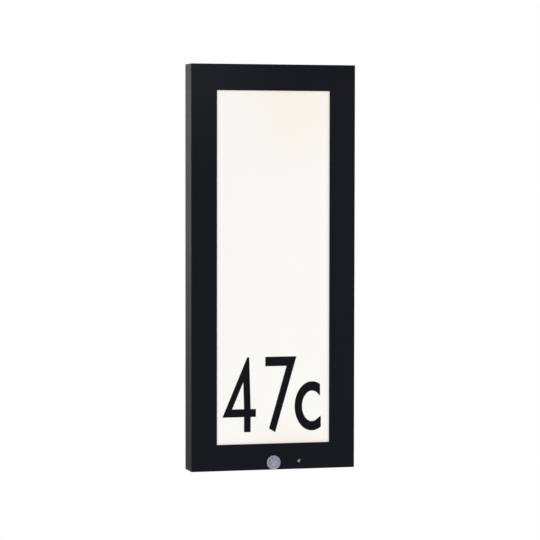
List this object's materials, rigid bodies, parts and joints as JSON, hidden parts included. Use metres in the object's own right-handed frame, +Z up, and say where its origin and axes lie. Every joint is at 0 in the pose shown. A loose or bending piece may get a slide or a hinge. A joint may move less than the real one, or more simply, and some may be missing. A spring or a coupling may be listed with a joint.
{
  "type": "illuminated house number sign",
  "caption": "Wall-mounted house number sign: a dark aluminium frame round an edge-lit opal panel with a stick-on number, a motion detector dome, a dusk sensor and a wall bracket.",
  "frame": {"origin": "centre of the wall bracket's slot pattern, on the wall plane", "axes": "+Z up, +Y into the house wall, +X to the right seen from the front; the lit face looks along -Y"},
  "size_m": [0.225, 0.0438, 0.54],
  "materials": {
    "frame_paint": "fine-textured satin powder coat, anthracite",
    "opal": "opal acrylic with a satin surface, lit from behind",
    "black_film": "matt black adhesive lettering",
    "clear_acrylic": "clear, polished edges",
    "white_film": "matt white film",
    "black_foam": "closed-cell foam",
    "black_rubber": "smooth black rubber",
    "aluminium_sheet": "mill finish",
    "galvanised_steel": "galvanised, with a faint spangle",
    "stainless_screw": "bright stainless",
    "black_screw": "black coated steel",
    "brass": "plain brass",
    "tinned_copper": "tinned",
    "white_board": "white solder resist on an aluminium core",
    "green_board": "green solder resist",
    "led_phosphor": "yellow phosphor in a white package",
    "milky_plastic": "milky translucent polyethylene, moulded in facets",
    "black_plastic": "fine-textured black",
    "white_plastic": "white",
    "dark_filter": "dark window",
    "nickel_can": "nickel plated",
    "clear_window": "clear polycarbonate",
    "blue_plastic": "blue",
    "ferrite": "dark grey ferrite with yellow tape",
    "capacitor_sleeve": "black sleeve",
    "brown_lead": "brown insulation",
    "blue_lead": "blue insulation",
    "earth_lead": "green and yellow insulation",
    "white_lead": "white insulation",
    "grey_lead": "grey jacket"
  },
  "bodies": {
    "wall_bracket": {"wall_bracket": "galvanised_steel"},
    "sign": {"front_frame": "frame_paint", "window_seal": "black_foam", "diffuser_panel": "opal", "number_four": "black_film", "number_seven": "black_film", "letter_c": "black_film", "light_guide": "clear_acrylic", "reflector_film": "white_film", "panel_tray": "aluminium_sheet", "tray_screws": "stainless_screw", "led_board_left": "white_board", "led_board_right": "white_board", "led_chips_left": "led_phosphor", "led_chips_right": "led_phosphor", "driver_case": "white_plastic", "driver_lid": "white_plastic", "driver_board": "green_board", "driver_coil": "ferrite", "driver_capacitor": "capacitor_sleeve", "driver_screws": "stainless_screw", "terminal_block": "white_plastic", "terminal_screws": "brass", "terminal_fixing_screws": "stainless_screw", "earth_lug": "tinned_copper", "earth_screw": "brass", "live_lead": "brown_lead", "neutral_lead": "blue_lead", "earth_lead": "earth_lead", "right_light_lead": "white_lead", "left_light_lead": "white_lead", "sensor_lead": "grey_lead", "lead_clips": "white_plastic", "back_cover": "aluminium_sheet", "cover_seal": "black_foam", "cover_screws": "stainless_screw", "chamber_lid": "black_plastic", "chamber_seal": "black_rubber", "chamber_lid_screws": "stainless_screw", "cable_grommet": "black_rubber", "sensor_lens": "milky_plastic", "lens_seal": "black_rubber", "sensor_carrier": "black_plastic", "sensor_board": "green_board", "sensor_screws": "stainless_screw", "heat_detector": "nickel_can", "detector_filter": "dark_filter", "dusk_window": "clear_window", "dusk_chip": "dark_filter", "time_trimmer": "blue_plastic", "dusk_trimmer": "blue_plastic", "dial_seals": "black_rubber", "sensor_plug": "white_plastic", "hanger": "galvanised_steel", "hanger_rivets": "aluminium_sheet", "locking_screws": "black_screw"},
    "time_dial": {"time_dial": "black_plastic"},
    "dusk_dial": {"dusk_dial": "black_plastic"}
  },
  "joints": [
    {"name": "lift_off", "type": "slide", "parent": "wall_bracket", "child": "sign", "axis": [0, 0, 1], "range_m": [0, 0.008]},
    {"name": "time_setting", "type": "hinge", "parent": "sign", "child": "time_dial", "pos_m": [-0.014, -0.009, -0.2557], "axis": [0, -1, 0], "range_deg": [0, 270]},
    {"name": "dusk_setting", "type": "hinge", "parent": "sign", "child": "dusk_dial", "pos_m": [0.014, -0.009, -0.2557], "axis": [0, -1, 0], "range_deg": [0, 270]}
  ]
}
